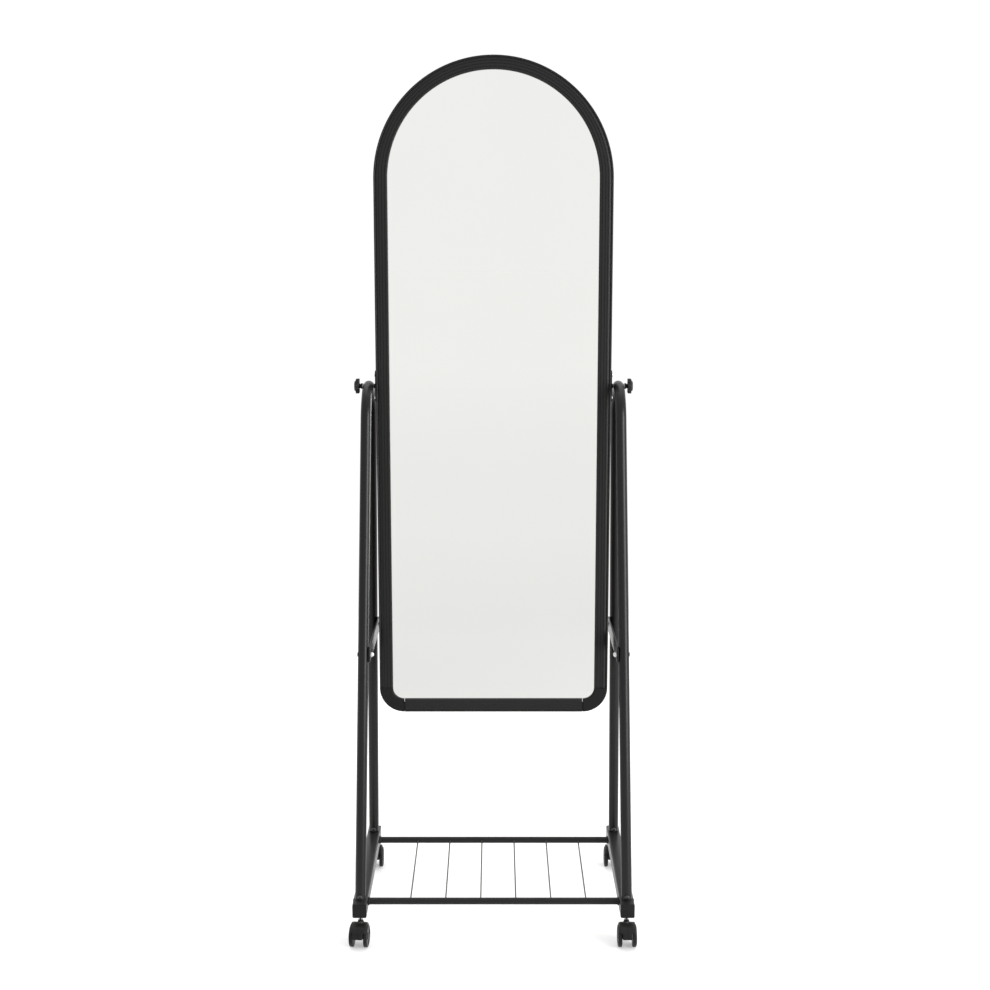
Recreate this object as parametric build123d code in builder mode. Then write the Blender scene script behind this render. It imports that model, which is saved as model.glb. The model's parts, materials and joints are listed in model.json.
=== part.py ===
from build123d import *
import os
from math import acos, atan2, cos, hypot, sin

# A free-standing cheval floor mirror on a wheeled tube stand.
# +X is the right-hand side seen from the front, +Y points to the back, +Z is up.
# The origin is on the floor, under the middle of the stand.
os.makedirs("parts", exist_ok=True)

# ---- driving dimensions, in millimetres and degrees ----
pivot_height = 985.0            # tilt axis above the floor
reach_above_pivot = 573.0       # tilt axis up to the top of the arch
reach_below_pivot = 603.5       # tilt axis down to the bottom edge
frame_width = 420.0
profile_width = 24.5            # frame extrusion, seen from the front
profile_depth = 20.0            # frame extrusion, front to back
profile_wall = 1.5
cavity_inner_edge = 16.0        # hollow part of the extrusion, from its outer side
groove_depth = 7.0              # slot that holds the glass and the board
groove_front = -6.0
groove_back = 0.4
corner_radius = 45.0
corner_span = 46.0              # length of frame taken by each corner connector
tongue_length = 18.0
slip_fit = 0.2                  # gap around parts that slide together
glass_thickness = 3.0
board_thickness = 3.0

tube_radius = 9.5
tube_wall = 1.2
top_bend_radius = 60.0
pivot_spacing = 446.5           # between the two arches at the tilt axis
foot_spacing = 476.0            # between the two arches at the sills
foot_depth = 158.0              # foot of each leg, in front of and behind the middle
spigot_height = 25.0            # stub on the sill that each leg slips over

sill_length = 370.0
sill_width = 25.0
sill_height = 25.0
sill_wall = 1.5
sill_edge_radius = 2.5
sill_top = 82.0
end_cap_thickness = 3.0
end_cap_plug = 10.0
end_cap_edge_radius = 1.2

bar_radius = 6.2
bar_depth = 141.0               # shelf bars, in front of and behind the middle
bar_wall = 1.2
bar_end_plug = 12.0             # solid threaded length at each end of a bar
bar_collar_radius = 7.6
bar_collar_length = 2.5
wire_radius = 1.3
wire_count = 6
wire_pitch = 63.3
wire_offset = 8.5               # the row of wires sits a little to the right

brace_height = 519.0
brace_width = 28.0
brace_thickness = 3.0
brace_overhang = 7.0            # beyond each bolt
brace_corner_radius = 5.0
brace_bolt_head_radius = 4.0    # low heads on the outer side
brace_bolt_head_height = 0.9
screw_radius = 2.5              # bolts and screws of the stand
screw_head_radius = 4.6
screw_head_height = 2.6
head_taper = 22.0               # slope of the domed heads
nut_taper = 25.0
foot_bolt_rise = 6.0            # above the sill
brace_nut_flats = 8.0
brace_nut_height = 4.0
brace_nut_dome = 2.5
brace_nut_shoulder = 0.3        # dome set in from the flats
small_screw_radius = 1.6        # screws of the mirror frame
small_screw_head = 3.4
small_screw_head_height = 1.8
corner_screw_length = 9.0
bracket_screw_length = 7.0
bracket_screw_head_height = 1.6

stud_radius = 3.0
running_clearance = 0.05
knob_radius = 14.5
knob_thickness = 9.0
knob_lobes = 6
knob_neck_length = 5.9
knob_neck_radius = 5.2
knob_lobe_radius = 3.8
knob_core_radius = 11.5
knob_edge_radius = 1.2
knob_cap = 3.0                  # closed wall over the stud end
stud_overrun = 3.0              # stud beyond the nut
washer_radius = 5.6
washer_thickness = 1.0
spacer_radius = 4.4
pivot_play = 0.5                # wide hole in the frame wall
bracket_play = 0.3
bracket_corner_radius = 4.0
bracket_height = 56.0
bracket_width = 16.0
bracket_thickness = 1.5
bracket_screw_offset = 20.0
pivot_nut_size = 11.0
pivot_nut_thickness = 5.0
pivot_nut_corner_radius = 1.0

wheel_radius = 20.0
wheel_thickness = 7.2
wheel_gap = 18.8                # clear space between the two wheels of one caster
caster_trail = 15.0             # wheel axle behind the swivel axis
stem_inset = 24.0               # swivel axis from the end of the sill
hood_width = 18.0
hood_radius = 24.0
hood_skin = 2.0
hood_lower_edge = 22.5
fender_width = 29.0
neck_top = 43.5
caster_stem_radius = 3.8
socket_radius = 5.5
socket_height = 18.0
socket_flange = 1.5
axle_radius = 2.5
wheel_cap = 1.0                 # wall left outside each blind wheel bore
hood_cheek = 3.0
fender_gap = 1.0
fender_edge = 33.0              # height of the fender's lower edges
neck_base = 26.0
stem_boss_radius = 4.8
stem_neck_radius = 3.0
stem_floor = 2.0                # boss left under the stem
stem_shoulder_drop = 4.0        # thick part of the stem starts below the sill
stem_tip_chamfer = 0.8
axle_boss_wall = 4.0
wheel_outer_edge_radius = 2.0
wheel_inner_edge_radius = 0.8
socket_flange_width = 2.5
socket_fit = 0.1
caster_angles = {"front_left": -5.0, "front_right": 0.0, "rear_left": 180.0, "rear_right": 180.0}

# ---- places worked out from them ----
half_frame = frame_width / 2
frame_top = pivot_height + reach_above_pivot
frame_bottom = pivot_height - reach_below_pivot
arch_centre = frame_top - half_frame
pivot_x = pivot_spacing / 2
sill_x = foot_spacing / 2
sill_bottom = sill_top - sill_height
sill_middle = sill_top - sill_height / 2
sill_tube_length = sill_length - 2 * end_cap_thickness
stem_y = sill_length / 2 - stem_inset
arch_drop = pivot_height - sill_top
lean = atan2((foot_spacing - pivot_spacing) / 2, arch_drop)
arch_length_down = arch_drop / cos(lean)

# The plane that the right-hand arch lies in: local x runs to the back, local y
# runs up along the lean, and its normal points away from the mirror.
arch_plane = Plane(
    origin=(pivot_x, 0, pivot_height),
    x_dir=(0, 1, 0),
    z_dir=(cos(lean), 0, sin(lean)),
)

# Each straight leg leaves the top bend where a line from its foot touches the bend.
foot_reach = hypot(foot_depth, top_bend_radius - arch_length_down)
foot_bearing = atan2(top_bend_radius - arch_length_down, foot_depth)
touch_angle = foot_bearing + acos(top_bend_radius / foot_reach)
touch_depth = top_bend_radius * cos(touch_angle)
touch_drop = top_bend_radius * (1 - sin(touch_angle))
leg_slope = (foot_depth - touch_depth) / (arch_length_down - touch_drop)


foot_bolt_height = sill_top + foot_bolt_rise
foot_bolt_x = sill_x - foot_bolt_rise * sin(lean)
brace_drop = (pivot_height - brace_height) / cos(lean)


def leg_depth(drop):
    """Distance of a leg from the middle plane, at a drop below the tilt axis along the lean."""
    return touch_depth + leg_slope * (drop - touch_drop)


brace_reach = leg_depth(brace_drop)


def screw(seat, head_radius, head_height, shank_radius, shank_length):
    """A domed screw: its head stands on the seat plane, its shank runs in behind it."""
    with BuildSketch(seat) as head:
        Circle(head_radius)
    extrude(head.sketch, amount=head_height, taper=head_taper)
    with BuildSketch(seat) as shank:
        Circle(shank_radius)
    extrude(shank.sketch, amount=-shank_length)


def leg_direction(end):
    """Unit vector up the right-hand leg; end is -1 for the front leg and 1 for the rear."""
    inward = -end * leg_slope
    return (arch_plane.y_dir + arch_plane.x_dir * inward).normalized()


def save(piece, label, place=Location()):
    """Name a finished piece, put it in its place and write it."""
    finished = piece.part.moved(place)
    finished.label = label
    export_step(finished, f"parts/{label}.step")


def save_pair(piece, label):
    """Write the right-hand piece, and its mirror image for the left."""
    save(piece, f"{label}_right")
    with BuildPart() as left:
        mirror(piece.part, about=Plane.YZ)
    save(left, f"{label}_left")


def save_both_sides(piece, label):
    """Write a right-hand group and its mirror image together as one node."""
    with BuildPart() as both:
        add(piece.part)
        mirror(piece.part, about=Plane.YZ)
    save(both, label)


# ---- side sills: square tube with a spigot welded on for each leg ----
with BuildPart() as sill:
    with BuildSketch(Plane.XZ.offset(-sill_tube_length / 2)):
        with Locations((sill_x, sill_middle)):
            RectangleRounded(sill_width, sill_height, sill_edge_radius)
            Rectangle(sill_width - 2 * sill_wall, sill_height - 2 * sill_wall, mode=Mode.SUBTRACT)
    extrude(amount=sill_tube_length)
    for end in (-1, 1):
        foot = Vector(sill_x, end * foot_depth, sill_top)
        up_leg = leg_direction(end)
        with BuildSketch(Plane(origin=foot - up_leg, z_dir=up_leg)):
            Circle(tube_radius - tube_wall - slip_fit)
        extrude(amount=spigot_height + 1)
    # cross holes for the shelf bar screws, and holes in the floor for the caster sockets
    with BuildSketch(Plane.YZ):
        with Locations((-bar_depth, sill_middle), (bar_depth, sill_middle)):
            Circle(screw_radius + slip_fit)
    extrude(amount=foot_spacing, mode=Mode.SUBTRACT)
    with BuildSketch(Plane.XY.offset(sill_bottom)):
        with Locations((sill_x, -stem_y), (sill_x, stem_y)):
            Circle(socket_radius)
    extrude(amount=sill_wall, mode=Mode.SUBTRACT)
    # cross holes for the foot bolts, just above the sill
    with BuildSketch(Plane.XZ.offset(-sill_length / 2)):
        with Locations((foot_bolt_x, foot_bolt_height)):
            Circle(screw_radius)
    extrude(amount=sill_length, mode=Mode.SUBTRACT)
save_pair(sill, "sill")

with BuildPart() as end_caps:
    for end in (-1, 1):
        cap_face = Plane(
            origin=(sill_x, end * sill_length / 2, sill_middle), x_dir=(1, 0, 0), z_dir=(0, -end, 0)
        )
        with BuildSketch(cap_face):
            RectangleRounded(sill_width, sill_height, sill_edge_radius)
        extrude(amount=end_cap_thickness)
        with BuildSketch(cap_face.offset(end_cap_thickness)):
            Rectangle(sill_width - 2 * (sill_wall + slip_fit), sill_height - 2 * (sill_wall + slip_fit))
        extrude(amount=end_cap_plug)
    outer_faces = end_caps.faces().filter_by(Axis.Y)
    for face in (outer_faces.sort_by(Axis.Y)[0], outer_faces.sort_by(Axis.Y)[-1]):
        fillet(face.edges(), end_cap_edge_radius)
save_both_sides(end_caps, "sill_end_caps")

# ---- leg arches: one bent tube a side, standing over the two spigots ----
with BuildPart() as leg_arch:
    with BuildLine(arch_plane) as arch_path:
        overrun = arch_length_down + 12
        Line((-leg_depth(overrun), -overrun), (-touch_depth, -touch_drop))
        ThreePointArc((-touch_depth, -touch_drop), (0, 0), (touch_depth, -touch_drop))
        Line((touch_depth, -touch_drop), (leg_depth(overrun), -overrun))
    with BuildSketch(Plane(origin=arch_path.line @ 0, z_dir=arch_path.line % 0)):
        Circle(tube_radius)
        Circle(tube_radius - tube_wall, mode=Mode.SUBTRACT)
    sweep(path=arch_path.line)
    split(bisect_by=Plane.XY.offset(sill_top), keep=Keep.TOP)
    # pivot hole
    with BuildSketch(Plane.YZ):
        with Locations((0, pivot_height)):
            Circle(stud_radius + running_clearance)
    extrude(amount=foot_spacing, mode=Mode.SUBTRACT)
    # holes for the brace bolts, square to the arch
    with BuildSketch(arch_plane.offset(-2 * tube_radius)):
        with Locations((-brace_reach, -brace_drop), (brace_reach, -brace_drop)):
            Circle(screw_radius)
    extrude(amount=4 * tube_radius, mode=Mode.SUBTRACT)
    # holes for the foot bolts
    with BuildSketch(Plane.XZ.offset(-sill_length / 2)):
        with Locations((foot_bolt_x, foot_bolt_height)):
            Circle(screw_radius)
    extrude(amount=sill_length, mode=Mode.SUBTRACT)
save_pair(leg_arch, "leg_arch")

with BuildPart() as foot_bolts:
    for end in (-1, 1):
        seat_gap = screw_head_radius * leg_slope + slip_fit
        leg_front = end * leg_depth(arch_length_down - foot_bolt_rise) - tube_radius - seat_gap
        seat = Plane(origin=(foot_bolt_x, leg_front, foot_bolt_height), z_dir=(0, -1, 0))
        screw(seat, screw_head_radius, screw_head_height, screw_radius, 2 * tube_radius + 1)
save_both_sides(foot_bolts, "foot_bolts")

# ---- braces: a flat strap inside each arch, bolted through both legs ----
with BuildPart() as brace:
    with BuildSketch(arch_plane.offset(-tube_radius - brace_thickness)):
        with Locations((0, -brace_drop)):
            RectangleRounded(2 * (brace_reach + brace_overhang), brace_width, brace_corner_radius)
        with Locations((-brace_reach, -brace_drop), (brace_reach, -brace_drop)):
            Circle(screw_radius, mode=Mode.SUBTRACT)
    extrude(amount=brace_thickness)
save_pair(brace, "leg_brace")

with BuildPart() as brace_bolts:
    for end in (-1, 1):
        centre = arch_plane.from_local_coords((end * brace_reach, -brace_drop, tube_radius + slip_fit))
        bolt_seat = Plane(origin=centre, x_dir=arch_plane.x_dir, z_dir=arch_plane.z_dir)
        bolt_length = 2 * tube_radius + brace_thickness + brace_nut_height
        screw(bolt_seat, brace_bolt_head_radius, brace_bolt_head_height, screw_radius, bolt_length)
save_both_sides(brace_bolts, "brace_bolts")

with BuildPart() as brace_nuts:
    for end in (-1, 1):
        nut_offset = -tube_radius - brace_thickness
        centre = arch_plane.from_local_coords((end * brace_reach, -brace_drop, nut_offset))
        nut_seat = Plane(origin=centre, x_dir=arch_plane.x_dir, z_dir=-arch_plane.z_dir)
        with BuildSketch(nut_seat):
            RegularPolygon(brace_nut_flats / 2, 6, major_radius=False)
        extrude(amount=brace_nut_height)
        with BuildSketch(nut_seat.offset(brace_nut_height)):
            Circle(brace_nut_flats / 2 - brace_nut_shoulder)
        extrude(amount=brace_nut_dome, taper=nut_taper)
        with BuildSketch(nut_seat):
            Circle(screw_radius)
        extrude(amount=brace_nut_height, mode=Mode.SUBTRACT)
save_both_sides(brace_nuts, "brace_cap_nuts")

# ---- shelf: two cross bars between the sills, with thin wires welded between them ----
bar_half_length = sill_x - sill_width / 2
for name, depth in (("front", -bar_depth), ("rear", bar_depth)):
    with BuildPart() as shelf_bar:
        with BuildSketch(Plane.YZ.offset(-bar_half_length)):
            with Locations((depth, sill_middle)):
                Circle(bar_radius)
        extrude(amount=2 * bar_half_length)
        for end in (-1, 1):
            collar_face = Plane(
                origin=(end * bar_half_length, depth, sill_middle), z_dir=(-end, 0, 0)
            )
            with BuildSketch(collar_face):
                Circle(bar_collar_radius)
            extrude(amount=bar_collar_length)
            with BuildSketch(collar_face):
                Circle(screw_radius)
            extrude(amount=bar_end_plug, mode=Mode.SUBTRACT)
        with BuildSketch(Plane.YZ.offset(bar_end_plug - bar_half_length)):
            with Locations((depth, sill_middle)):
                Circle(bar_radius - bar_wall)
        extrude(amount=2 * (bar_half_length - bar_end_plug), mode=Mode.SUBTRACT)
    save(shelf_bar, f"shelf_bar_{name}")

with BuildPart() as shelf_wires:
    with BuildSketch(Plane.XZ.offset(-bar_depth)):
        with Locations((wire_offset, sill_middle)):
            with GridLocations(wire_pitch, 0, wire_count, 1):
                Circle(wire_radius)
    extrude(amount=2 * bar_depth)
    # each wire ends in a saddle against the round bars
    with BuildSketch(Plane.YZ.offset(-bar_half_length)):
        with Locations((-bar_depth, sill_middle), (bar_depth, sill_middle)):
            Circle(bar_radius)
    extrude(amount=2 * bar_half_length, mode=Mode.SUBTRACT)
save(shelf_wires, "shelf_wires")

with BuildPart() as bar_screws:
    for end in (-1, 1):
        seat = Plane(origin=(sill_x + sill_width / 2, end * bar_depth, sill_middle), z_dir=(1, 0, 0))
        screw(seat, screw_head_radius, screw_head_height, screw_radius, sill_width + bar_end_plug - 2)
save_both_sides(bar_screws, "bar_screws")

# ---- mirror frame: one hollow extrusion bent to an arch, closed at the bottom ----
front = -profile_depth / 2
back = profile_depth / 2


def arch_slab(inset, first, last, mode=Mode.ADD):
    """A plate with the mirror's outline, shrunk by the inset, between two depths."""
    half = half_frame - inset
    low = frame_bottom + inset
    with BuildSketch(Plane.XZ.offset(-last)) as outline:
        with BuildLine():
            Polyline((-half, arch_centre), (-half, low), (half, low), (half, arch_centre))
            ThreePointArc((half, arch_centre), (0, arch_centre + half), (-half, arch_centre))
        make_face()
        fillet(outline.vertices().group_by(Axis.Y)[0], corner_radius - inset)
    extrude(outline.sketch, amount=last - first, mode=mode)


with BuildPart() as frame_cavity:
    arch_slab(profile_wall, front + profile_wall, back - profile_wall)
    arch_slab(cavity_inner_edge, front, back, Mode.SUBTRACT)


def frame_ring(hollow):
    """The grooved frame all the way round, hollow or solid."""
    arch_slab(0, front, back)
    arch_slab(profile_width, front, back, Mode.SUBTRACT)
    arch_slab(profile_width - groove_depth, groove_front, groove_back, Mode.SUBTRACT)
    if hollow:
        add(frame_cavity.part, mode=Mode.SUBTRACT)


joint_height = frame_bottom + corner_span
joint_x = half_frame - corner_span
core_middle = (profile_wall + cavity_inner_edge) / 2
corner_screw_places = (
    (half_frame - core_middle, joint_height + tongue_length / 2),
    (joint_x - tongue_length / 2, frame_bottom + core_middle),
)


def corner_screw_holes():
    """Holes from the back of the frame into both tongues of each corner connector."""
    with BuildSketch(Plane.XZ.offset(-back)) as holes:
        for x, z in corner_screw_places:
            with Locations((x, z), (-x, z)):
                Circle(small_screw_radius)
    extrude(holes.sketch, amount=corner_screw_length, mode=Mode.SUBTRACT)


with BuildPart() as frame_arch:
    frame_ring(hollow=True)
    split(bisect_by=Plane.XY.offset(joint_height), keep=Keep.TOP)
    corner_screw_holes()
    for side in (-1, 1):
        with BuildSketch(Plane.YZ.offset(side * (half_frame - profile_wall / 2))):
            with Locations((0, pivot_height)):
                Circle(stud_radius + pivot_play)
            with Locations((0, pivot_height - bracket_screw_offset), (0, pivot_height + bracket_screw_offset)):
                Circle(small_screw_radius)
        extrude(amount=profile_wall, both=True, mode=Mode.SUBTRACT)
save(frame_arch, "mirror_frame_arch")

with BuildPart() as bottom_rail:
    frame_ring(hollow=True)
    with Locations((0, 0, frame_bottom)):
        Box(2 * joint_x, profile_depth, 2 * corner_span, mode=Mode.INTERSECT)
    corner_screw_holes()
save(bottom_rail, "frame_bottom_rail")

with BuildPart() as corner:
    frame_ring(hollow=False)
    with Locations((half_frame, 0, frame_bottom)):
        Box(2 * corner_span, profile_depth, 2 * corner_span, mode=Mode.INTERSECT)
    tongue_width = cavity_inner_edge - profile_wall - 2 * slip_fit
    tongue_depth = profile_depth - 2 * (profile_wall + slip_fit)
    with Locations((half_frame - core_middle, 0, joint_height + tongue_length / 2)):
        Box(tongue_width, tongue_depth, tongue_length)
    with Locations((joint_x - tongue_length / 2, 0, frame_bottom + core_middle)):
        Box(tongue_length, tongue_depth, tongue_width)
    corner_screw_holes()
save_pair(corner, "corner_connector")

with BuildPart() as corner_screws:
    for x, z in corner_screw_places:
        screw(
            Plane(origin=(x, back, z), z_dir=(0, 1, 0)),
            small_screw_head, small_screw_head_height, small_screw_radius, corner_screw_length - 1,
        )
save_both_sides(corner_screws, "corner_screws")

glass_front = groove_front + slip_fit
pane_inset = profile_width - groove_depth + 1
with BuildPart() as glass:
    arch_slab(pane_inset, glass_front, glass_front + glass_thickness)
save(glass, "mirror_glass")

with BuildPart() as board:
    arch_slab(pane_inset, glass_front + glass_thickness, glass_front + glass_thickness + board_thickness)
save(board, "backing_board")

# ---- pivots: bracket plate and trapped nut on the frame, clamp knob through the arch ----
with BuildPart() as bracket:
    with BuildSketch(Plane.YZ.offset(half_frame)):
        with Locations((0, pivot_height)):
            RectangleRounded(bracket_width, bracket_height, bracket_corner_radius)
            Circle(stud_radius + bracket_play, mode=Mode.SUBTRACT)
        with Locations((0, pivot_height - bracket_screw_offset), (0, pivot_height + bracket_screw_offset)):
            Circle(small_screw_radius, mode=Mode.SUBTRACT)
    extrude(amount=bracket_thickness)
save_pair(bracket, "pivot_bracket")

with BuildPart() as bracket_screws:
    for rise in (-bracket_screw_offset, bracket_screw_offset):
        seat = Plane(origin=(half_frame + bracket_thickness, 0, pivot_height + rise), z_dir=(1, 0, 0))
        screw(
            seat, small_screw_head, bracket_screw_head_height, small_screw_radius, bracket_screw_length
        )
save_both_sides(bracket_screws, "bracket_screws")

with BuildPart() as pivot_nut:
    nut_face = half_frame - profile_wall - slip_fit - pivot_nut_thickness
    with BuildSketch(Plane.YZ.offset(nut_face)):
        with Locations((0, pivot_height)):
            RectangleRounded(pivot_nut_size, pivot_nut_size, pivot_nut_corner_radius)
            Circle(stud_radius + running_clearance, mode=Mode.SUBTRACT)
    extrude(amount=pivot_nut_thickness)
save_pair(pivot_nut, "pivot_nut")

tube_inner_face = pivot_x - tube_radius
tube_outer_face = pivot_x + tube_radius
with BuildPart() as spacer:
    with BuildSketch(Plane.YZ.offset(half_frame + bracket_thickness)):
        with Locations((0, pivot_height)):
            Circle(spacer_radius)
            Circle(stud_radius + running_clearance, mode=Mode.SUBTRACT)
    extrude(amount=tube_inner_face - slip_fit - half_frame - bracket_thickness)
save_pair(spacer, "pivot_spacer")

washer_face = tube_outer_face + slip_fit / 2
neck_face = washer_face + washer_thickness
knob_face = neck_face + knob_neck_length
stud_tip = nut_face - stud_overrun
stud_end = knob_face + knob_thickness - knob_cap
with BuildPart() as washer:
    with BuildSketch(Plane.YZ.offset(washer_face)):
        with Locations((0, pivot_height)):
            Circle(washer_radius)
            Circle(stud_radius, mode=Mode.SUBTRACT)
    extrude(amount=neck_face - washer_face)
save_pair(washer, "knob_washer")

with BuildPart() as stud:
    with BuildSketch(Plane.YZ.offset(stud_tip)):
        with Locations((0, pivot_height)):
            Circle(stud_radius)
    extrude(amount=stud_end - stud_tip)
save_pair(stud, "clamp_stud")

with BuildPart() as knob:
    with BuildSketch(Plane.YZ.offset(knob_face)):
        with Locations((0, pivot_height)):
            Circle(knob_core_radius)
            with PolarLocations(knob_radius - knob_lobe_radius, knob_lobes):
                Circle(knob_lobe_radius)
    extrude(amount=knob_thickness)
    fillet(knob.faces().sort_by(Axis.X)[-1].edges(), knob_edge_radius)
    with BuildSketch(Plane.YZ.offset(neck_face)):
        with Locations((0, pivot_height)):
            Circle(knob_neck_radius)
    extrude(amount=knob_neck_length)
    with BuildSketch(Plane.YZ.offset(neck_face)):
        with Locations((0, pivot_height)):
            Circle(stud_radius)
    extrude(amount=stud_end - neck_face, mode=Mode.SUBTRACT)
save_pair(knob, "clamp_knob")

# ---- casters: made with the swivel axis on the origin and the wheels trailing to the front ----
with BuildPart() as hood:
    with BuildSketch(Plane.YZ.offset(-hood_width / 2)):
        with Locations((-caster_trail, wheel_radius)):
            Circle(hood_radius)
        with Locations((-caster_trail, hood_lower_edge - hood_radius)):
            Rectangle(3 * hood_radius, 2 * hood_radius, mode=Mode.SUBTRACT)
        with Locations((-caster_trail, wheel_radius)):
            Circle(axle_radius + axle_boss_wall)
    extrude(amount=hood_width)
    with BuildSketch(Plane.YZ.offset(-hood_width / 2 + hood_cheek)):
        with Locations((-caster_trail, wheel_radius)):
            Circle(hood_radius - hood_skin)
    extrude(amount=hood_width - 2 * hood_cheek, mode=Mode.SUBTRACT)
    # fender over the tops of both wheels
    with BuildSketch(Plane.YZ.offset(-fender_width / 2)):
        with Locations((-caster_trail, wheel_radius)):
            Circle(hood_radius)
            Circle(wheel_radius + fender_gap, mode=Mode.SUBTRACT)
        with Locations((-caster_trail, fender_edge - hood_radius)):
            Rectangle(3 * hood_radius, 2 * hood_radius, mode=Mode.SUBTRACT)
    extrude(amount=fender_width)
    # boss that holds the stem
    with BuildSketch(Plane.XY.offset(neck_base)):
        Circle(stem_boss_radius)
    extrude(amount=neck_top - neck_base)
    with BuildSketch(Plane.XY.offset(neck_base + stem_floor)):
        Circle(stem_neck_radius)
    extrude(amount=neck_top - neck_base, mode=Mode.SUBTRACT)
    with BuildSketch(Plane.YZ.offset(-hood_width / 2)):
        with Locations((-caster_trail, wheel_radius)):
            Circle(axle_radius)
    extrude(amount=hood_width, mode=Mode.SUBTRACT)

with BuildPart() as stem:
    stem_base = neck_base + stem_floor
    stem_shoulder = sill_bottom - stem_shoulder_drop
    with BuildSketch(Plane.XY.offset(stem_base)):
        Circle(stem_neck_radius)
    extrude(amount=stem_shoulder - stem_base)
    with BuildSketch(Plane.XY.offset(stem_shoulder)):
        Circle(caster_stem_radius)
    extrude(amount=socket_height)
    chamfer(stem.faces().sort_by(Axis.Z)[-1].edges(), stem_tip_chamfer)

with BuildPart() as axle:
    axle_half_length = wheel_gap / 2 + wheel_thickness - wheel_cap - slip_fit
    with BuildSketch(Plane.YZ.offset(-axle_half_length)):
        with Locations((-caster_trail, wheel_radius)):
            Circle(axle_radius)
    extrude(amount=2 * axle_half_length)

with BuildPart() as wheel:
    with BuildSketch(Plane.YZ.offset(wheel_gap / 2)):
        with Locations((-caster_trail, wheel_radius)):
            Circle(wheel_radius)
    extrude(amount=wheel_thickness)
    fillet(wheel.faces().sort_by(Axis.X)[-1].edges(), wheel_outer_edge_radius)
    fillet(wheel.faces().sort_by(Axis.X)[0].edges(), wheel_inner_edge_radius)
    with BuildSketch(Plane.YZ.offset(wheel_gap / 2)):
        with Locations((-caster_trail, wheel_radius)):
            Circle(axle_radius + running_clearance)
    extrude(amount=wheel_thickness - wheel_cap, mode=Mode.SUBTRACT)

with BuildPart() as other_wheel:
    mirror(wheel.part, about=Plane.YZ)

with BuildPart() as socket:
    with BuildSketch(Plane.XY.offset(sill_bottom - socket_flange)):
        Circle(socket_radius + socket_flange_width)
    extrude(amount=socket_flange)
    with BuildSketch(Plane.XY.offset(sill_bottom)):
        Circle(socket_radius - socket_fit)
    extrude(amount=socket_height)
    with BuildSketch(Plane.XY.offset(sill_bottom - socket_flange)):
        Circle(caster_stem_radius + running_clearance)
    extrude(amount=socket_height + socket_flange, mode=Mode.SUBTRACT)

for corner_name, angle in caster_angles.items():
    end = -1 if corner_name.startswith("front") else 1
    side = -1 if corner_name.endswith("left") else 1
    place = Location((side * sill_x, end * stem_y, 0), (0, 0, angle))
    save(hood, f"caster_{corner_name}_hood", place)
    save(stem, f"caster_{corner_name}_stem", place)
    save(axle, f"caster_{corner_name}_axle", place)
    save(wheel, f"caster_{corner_name}_wheel_a", place)
    save(other_wheel, f"caster_{corner_name}_wheel_b", place)

with BuildPart() as sockets:
    with Locations((sill_x, -stem_y, 0), (sill_x, stem_y, 0)):
        add(socket.part)
save_both_sides(sockets, "caster_sockets")
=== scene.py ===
import json
import math

import bmesh
import bpy
from mathutils import Matrix, Vector


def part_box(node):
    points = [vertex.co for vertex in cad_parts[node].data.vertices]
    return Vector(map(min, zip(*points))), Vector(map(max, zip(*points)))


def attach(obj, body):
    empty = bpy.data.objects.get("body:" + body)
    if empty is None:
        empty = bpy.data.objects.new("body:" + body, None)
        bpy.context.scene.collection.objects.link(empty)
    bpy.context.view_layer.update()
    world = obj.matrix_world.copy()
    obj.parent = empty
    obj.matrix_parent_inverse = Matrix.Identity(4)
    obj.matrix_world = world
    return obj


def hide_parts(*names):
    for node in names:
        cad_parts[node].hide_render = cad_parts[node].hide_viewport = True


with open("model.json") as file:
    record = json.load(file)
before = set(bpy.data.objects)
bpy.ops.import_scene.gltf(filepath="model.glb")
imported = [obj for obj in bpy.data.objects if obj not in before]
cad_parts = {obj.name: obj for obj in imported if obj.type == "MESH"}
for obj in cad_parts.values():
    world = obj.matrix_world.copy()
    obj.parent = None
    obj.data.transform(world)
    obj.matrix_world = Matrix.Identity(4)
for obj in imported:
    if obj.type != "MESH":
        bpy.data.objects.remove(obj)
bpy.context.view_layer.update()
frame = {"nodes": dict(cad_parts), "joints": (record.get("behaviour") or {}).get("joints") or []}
joints = {joint["name"]: joint for joint in frame["joints"]}
MM = 0.001
TURN = 2 * math.pi


def corners(node):
    """Lowest and highest corner of a CAD node at rest."""
    low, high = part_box(node)
    return Vector(low), Vector(high)


def in_scene(name, data):
    """A new object for some data, put into the scene."""
    made = bpy.data.objects.new(name, data)
    bpy.context.collection.objects.link(made)
    return made


def solid_boxes(node):
    """The box of each separate solid in a CAD node, from left to right and front to back."""
    copy = bmesh.new()
    copy.from_mesh(frame["nodes"][node].data)
    bmesh.ops.remove_doubles(copy, verts=copy.verts, dist=1e-6)
    boxes, seen = [], set()
    for start in copy.verts:
        if start.index in seen:
            continue
        seen.add(start.index)
        reached, waiting = [], [start]
        while waiting:
            vertex = waiting.pop()
            reached.append(vertex.co.copy())
            for edge in vertex.link_edges:
                other = edge.other_vert(vertex)
                if other.index not in seen:
                    seen.add(other.index)
                    waiting.append(other)
        low = Vector([min(point[axis] for point in reached) for axis in range(3)])
        high = Vector([max(point[axis] for point in reached) for axis in range(3)])
        boxes.append((low, high))
    copy.free()
    return sorted(boxes, key=lambda box: (round(box[0].x, 3), round(box[0].y, 3), round(box[0].z, 3)))


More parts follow.
